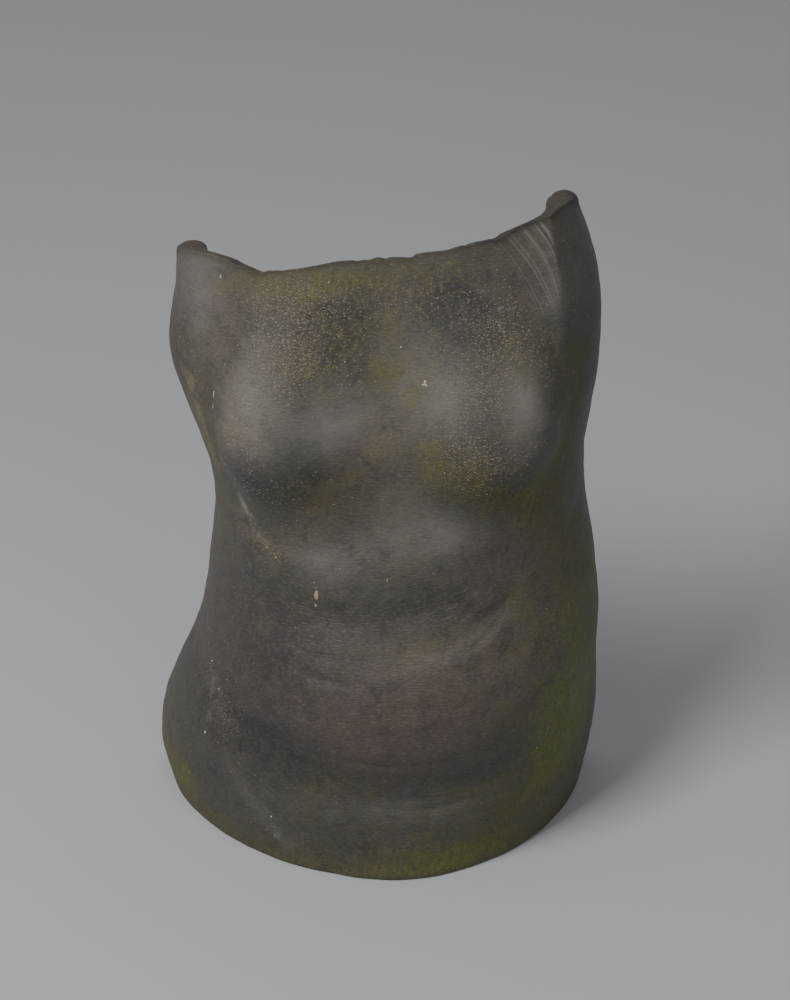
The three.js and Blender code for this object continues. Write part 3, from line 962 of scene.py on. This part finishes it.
def lime_crust():
    """Pale drips and specks of lime, warmer where they run."""
    finish = Finish("lime_crust")
    colour = finish.blend(LIME, CREAM, finish.kept("warm").clipped())
    colour = finish.blend(colour, CLAY, (finish.grain(0.0022, 3, 0.7).between(0.42, 0.62) * 0.7).clipped())
    return finish.dressed(colour, 0.8)


skin_mesh.materials.append(worn_clay())
skin = add_piece("torso_skin", skin_mesh)
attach(skin, "root")
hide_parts("torso")


# Grains of grog that stand proud of the clay

GRAINS_PER_SQUARE_METRE = 230000.0
GRAIN_HALF_LENGTH = 0.00095
# A grain's turn from the level in radians, its length as a share of the usual one, and its breadth and
# thickness as shares of that length
GRAIN_TURNS = (-0.6, 0.6)
GRAIN_LENGTHS = (0.5, 1.25)
GRAIN_BREADTHS = (0.28, 0.48)
GRAIN_THICKNESSES = (0.15, 0.3)


def grain_scatter(material):
    """Small flat grains over the skin: as many as its grog attribute asks for, lying level."""
    tree = bpy.data.node_groups.new("grain_scatter", "GeometryNodeTree")
    sockets = [
        ("Geometry", "Geometry"), ("Grains per Square Metre", "Float"), ("Half Length", "Float"),
        ("Seed", "Int"),
    ]
    for name, kind in sockets:
        tree.interface.new_socket(name=name, in_out="INPUT", socket_type="NodeSocket" + kind)
    tree.interface.new_socket(name="Geometry", in_out="OUTPUT", socket_type="NodeSocketGeometry")

    def node(kind, settings, inputs):
        """The outputs of a node of that kind."""
        made = tree.nodes.new(kind)
        for name, setting in settings.items():
            setattr(made, name, setting)
        for name, given in inputs.items():
            if isinstance(given, bpy.types.NodeSocket):
                tree.links.new(given, made.inputs[name])
            else:
                made.inputs[name].default_value = given
        return made.outputs

    def times(first, second):
        return node("ShaderNodeMath", {"operation": "MULTIPLY"}, {0: first, 1: second})[0]

    def chance(limits, seed):
        return node("FunctionNodeRandomValue", {}, {2: limits[0], 3: limits[1], "Seed": seed})[1]

    given = node("NodeGroupInput", {}, {})
    crowd = node("GeometryNodeInputNamedAttribute", {"data_type": "FLOAT"}, {"Name": "grog"})[0]
    spread = node("GeometryNodeDistributePointsOnFaces", {}, {
        "Mesh": given["Geometry"], "Density": times(crowd, given["Grains per Square Metre"]),
        "Seed": given["Seed"],
    })
    toned = node("GeometryNodeStoreNamedAttribute", {"data_type": "FLOAT", "domain": "POINT"}, {
        "Geometry": spread["Points"], "Name": "tone", "Value": chance((0.0, 1.0), 3),
    })[0]
    level = node("ShaderNodeVectorMath", {"operation": "CROSS_PRODUCT"}, {
        0: (0.0, 0.0, 1.0), 1: spread["Normal"],
    })[0]
    turned = node("FunctionNodeAlignRotationToVector", {"axis": "X", "pivot_axis": "Z"}, {
        "Rotation": spread["Rotation"], "Vector": level,
    })[0]
    askew = node("ShaderNodeCombineXYZ", {}, {"Z": chance(GRAIN_TURNS, 4)})[0]
    turned = node("FunctionNodeRotateRotation", {"rotation_space": "LOCAL"}, {
        "Rotation": turned, "Rotate By": askew,
    })[0]
    length = times(given["Half Length"], chance(GRAIN_LENGTHS, 5))
    size = node("ShaderNodeCombineXYZ", {}, {
        "X": length, "Y": times(length, chance(GRAIN_BREADTHS, 6)),
        "Z": times(length, chance(GRAIN_THICKNESSES, 7)),
    })[0]
    grain = node("GeometryNodeMeshIcoSphere", {}, {"Radius": 1.0, "Subdivisions": 1})[0]
    placed = node("GeometryNodeInstanceOnPoints", {}, {
        "Points": toned, "Instance": grain, "Rotation": turned, "Scale": size,
    })[0]
    real = node("GeometryNodeRealizeInstances", {}, {"Geometry": placed})[0]
    smoothed = node("GeometryNodeSetShadeSmooth", {}, {"Geometry": real})[0]
    finished = node("GeometryNodeSetMaterial", {}, {"Geometry": smoothed, "Material": material})[0]
    node("NodeGroupOutput", {}, {0: finished})
    return tree


def grow_grains():
    """The grains as one plain mesh, grown on the skin."""
    piece = add_piece("grog_grains", skin_mesh)
    scatter = piece.modifiers.new("grain_scatter", "NODES")
    scatter.node_group = grain_scatter(grog_grit())
    wanted = {
        "Grains per Square Metre": GRAINS_PER_SQUARE_METRE, "Half Length": GRAIN_HALF_LENGTH, "Seed": SEED,
    }
    for item in scatter.node_group.interface.items_tree:
        if item.in_out == "INPUT" and item.name in wanted:
            scatter[item.identifier] = wanted[item.name]
    dressed = piece.evaluated_get(bpy.context.evaluated_depsgraph_get())
    grains = bpy.data.meshes.new_from_object(dressed)
    piece.modifiers.remove(scatter)
    piece.data = grains
    grains.name = "grog_grains"
    return piece


grains = grow_grains()
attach(grains, "root")


# Lime that dripped and chipped onto the clay

# Place in the drawing, width and height in metres, lean from upright, points of a star, warmth
LIME_SPOTS = [
    ((3.6, 80.9), 0.0048, 0.0052, 0.0, 3, 0.1), ((-11.1, 49.9), 0.0022, 0.0022, 0.0, 0, 1.0),
    ((-11.1, 49.3), 0.0030, 0.0018, 0.2, 0, 1.0), ((-11.15, 47.8), 0.0050, 0.0118, 0.06, 0, 1.0),
    ((-11.3, 46.3), 0.0026, 0.0040, -0.1, 0, 1.3),
    ((-23.3, 93.5), 0.0018, 0.0044, 0.2, 0, 0.0), ((-8.7, 94.5), 0.0018, 0.0016, 0.0, 0, 0.2),
    ((0.7, 85.7), 0.0018, 0.0014, 0.0, 0, 0.1), ((-6.2, 84.0), 0.0015, 0.0014, 0.0, 0, 0.3),
    ((-22.8, 77.4), 0.0020, 0.0104, 0.3, 0, 0.0), ((-23.5, 75.3), 0.0014, 0.0072, 0.3, 0, 0.2),
    ((-28.2, 18.3), 0.0022, 0.0050, 0.0, 0, 0.1), ((-18.7, 8.1), 0.0020, 0.0028, 0.4, 0, 0.1),
    ((-18.0, 4.7), 0.0016, 0.0018, 0.0, 0, 0.2), ((-27.0, 29.5), 0.0018, 0.0020, 0.0, 0, 0.2),
    ((-26.2, 26.5), 0.0020, 0.0026, 0.3, 0, 0.3), ((-16.5, 52.5), 0.0022, 0.0016, 0.0, 0, 0.8),
    ((-17.6, 53.2), 0.0026, 0.0015, 0.2, 0, 0.9), ((5.9, 68.6), 0.0016, 0.0013, 0.0, 0, 0.2),
    ((8.5, 67.8), 0.0015, 0.0013, 0.0, 0, 0.3), ((-1.0, 51.0), 0.0040, 0.0012, 1.5, 0, 0.6),
    ((21.0, 20.0), 0.0014, 0.0014, 0.0, 0, 0.2), ((22.0, 6.5), 0.0014, 0.0014, 0.0, 0, 0.4),
]
SPOT_CORNERS = 18
SPOT_THICK = 0.0005
SPOT_RAGGED = (0.78, 1.22)
STAR_DEPTH = 0.5
# The crust's two rings: share of the spot's size, and height above the clay in thicknesses
SPOT_RINGS = [(0.55, 1.0), (1.0, -0.6)]
SPOT_TOP = 1.2
SPOT_UNDER = 2


def spot_outline(width, height, lean, star, ragged):
    """Points round a spot, as distances across and up from its centre."""
    for k in range(SPOT_CORNERS):
        angle = 2 * math.pi * k / SPOT_CORNERS
        arm = 1 + STAR_DEPTH * math.cos(star * (angle - math.pi / 2)) if star else 1
        across = ragged[k] * arm * width / 2 * math.cos(angle)
        up = ragged[k] * arm * height / 2 * math.sin(angle)
        yield across * math.cos(lean) + up * math.sin(lean), up * math.cos(lean) - across * math.sin(lean)


def spot_faces(start, top, under):
    """Faces of one crust: its top, its flanks and its underside."""
    faces = []
    for k in range(SPOT_CORNERS):
        inner, inner_next = start + k, start + (k + 1) % SPOT_CORNERS
        rim, rim_next = inner + SPOT_CORNERS, inner_next + SPOT_CORNERS
        faces += [(top, inner, inner_next), (inner, rim, rim_next, inner_next), (under, rim_next, rim)]
    return faces


def lime_mesh():
    """A thin closed crust for each spot, lying on the skin."""
    flat_u, flat_v = drawn_u.ravel(), drawn_v.ravel()
    clay = loops.reshape(-1, 3)
    tree = BVHTree.FromPolygons([tuple(p) for p in clay], [tuple(f.vertices) for f in skin_mesh.polygons])
    chances = np.random.default_rng(SEED + 1)
    points, faces, warm = [], [], []
    for (u, v), width, height, lean, star, warmth in LIME_SPOTS:
        away = np.where(on_outer.ravel() > 0.5, np.hypot(flat_u - u, flat_v - v), np.inf)
        centre, normal, _, _ = tree.find_nearest(Vector(clay[int(np.argmin(away))]))
        level = Vector((0, 0, 1)).cross(normal).normalized()
        rising = normal.cross(level)
        start = len(points)
        outline = list(spot_outline(width, height, lean, star, chances.uniform(*SPOT_RAGGED, SPOT_CORNERS)))
        for share, lift in SPOT_RINGS:
            for across, up in outline:
                spot = centre + level * (share * across) + rising * (share * up)
                landed, facing, _, _ = tree.find_nearest(spot)
                points.append(landed + facing * SPOT_THICK * lift)
        points += [centre + normal * SPOT_THICK * SPOT_TOP, centre - normal * SPOT_THICK * SPOT_UNDER]
        faces += spot_faces(start, len(points) - 2, len(points) - 1)
        warm += [warmth] * (len(points) - start)
    mesh = smooth_mesh("lime_crust", points, faces)
    give(mesh, "warm", warm)
    mesh.materials.append(lime_crust())
    return mesh


lime = add_piece("lime_crust", lime_mesh())
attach(lime, "root")


# Floor, light and camera

FLOOR_SIDE = 9.0
PALE_FLOOR = paint(0.40, 0.40, 0.41)


def floor_sheet():
    side = FLOOR_SIDE / 2
    corners = [(-side, -side, 0), (side, -side, 0), (side, side, 0), (-side, side, 0)]
    mesh = bpy.data.meshes.new("floor")
    mesh.from_pydata(corners, [], [(0, 1, 2, 3)])
    mesh.materials.append(Finish("pale_floor").dressed(PALE_FLOOR, 0.9))
    return mesh


floor = add_piece("floor", floor_sheet())


def soft_light(name, place, target, size, power):
    """A square lamp that faces its target: its side in metres, its power in watts."""
    lamp = bpy.data.lights.new(name, "AREA")
    lamp.shape = "SQUARE"
    lamp.size = size
    lamp.energy = power
    holder = bpy.data.objects.new(name, lamp)
    holder.location = place
    holder.rotation_euler = (Vector(target) - Vector(place)).to_track_quat("-Z", "Y").to_euler()
    bpy.context.scene.collection.objects.link(holder)


CHEST = (0.0, -0.02, 0.36)
soft_light("key", (-1.2, -1.2, 2.35), CHEST, 0.9, 68)
soft_light("fill", (1.2, -1.9, 1.7), CHEST, 1.6, 7)

ROOM_LIGHT = paint(0.86, 0.88, 0.92)
ROOM_STRENGTH = 0.42
world = bpy.data.worlds.new("plain_room")
bpy.context.scene.world = world
world.use_nodes = True
room = world.node_tree.nodes["Background"].inputs
room["Color"].default_value = ROOM_LIGHT
room["Strength"].default_value = ROOM_STRENGTH

# The photograph's view: 33 degrees down, 2.2 m from a point just in front of the back plane
CAMERA_TILT = math.radians(33)
CAMERA_DISTANCE = 2.2
PIXELS_PER_METRE = 1190
PICTURE_HEIGHT = 1000
AIM_FORWARD = 0.03
AIM_HEIGHT = 0.299
AIM = Vector((back_plane[0], back_plane[1] - AIM_FORWARD, AIM_HEIGHT))
camera_data = bpy.data.cameras.new("camera")
camera_data.sensor_fit = "VERTICAL"
camera_data.sensor_height = 24
camera_data.lens = camera_data.sensor_height * PIXELS_PER_METRE * CAMERA_DISTANCE / PICTURE_HEIGHT
camera = bpy.data.objects.new("camera", camera_data)
camera.location = AIM + CAMERA_DISTANCE * Vector((0, -math.cos(CAMERA_TILT), math.sin(CAMERA_TILT)))
camera.rotation_euler = (math.pi / 2 - CAMERA_TILT, 0, 0)
bpy.context.scene.collection.objects.link(camera)
bpy.context.scene.camera = camera
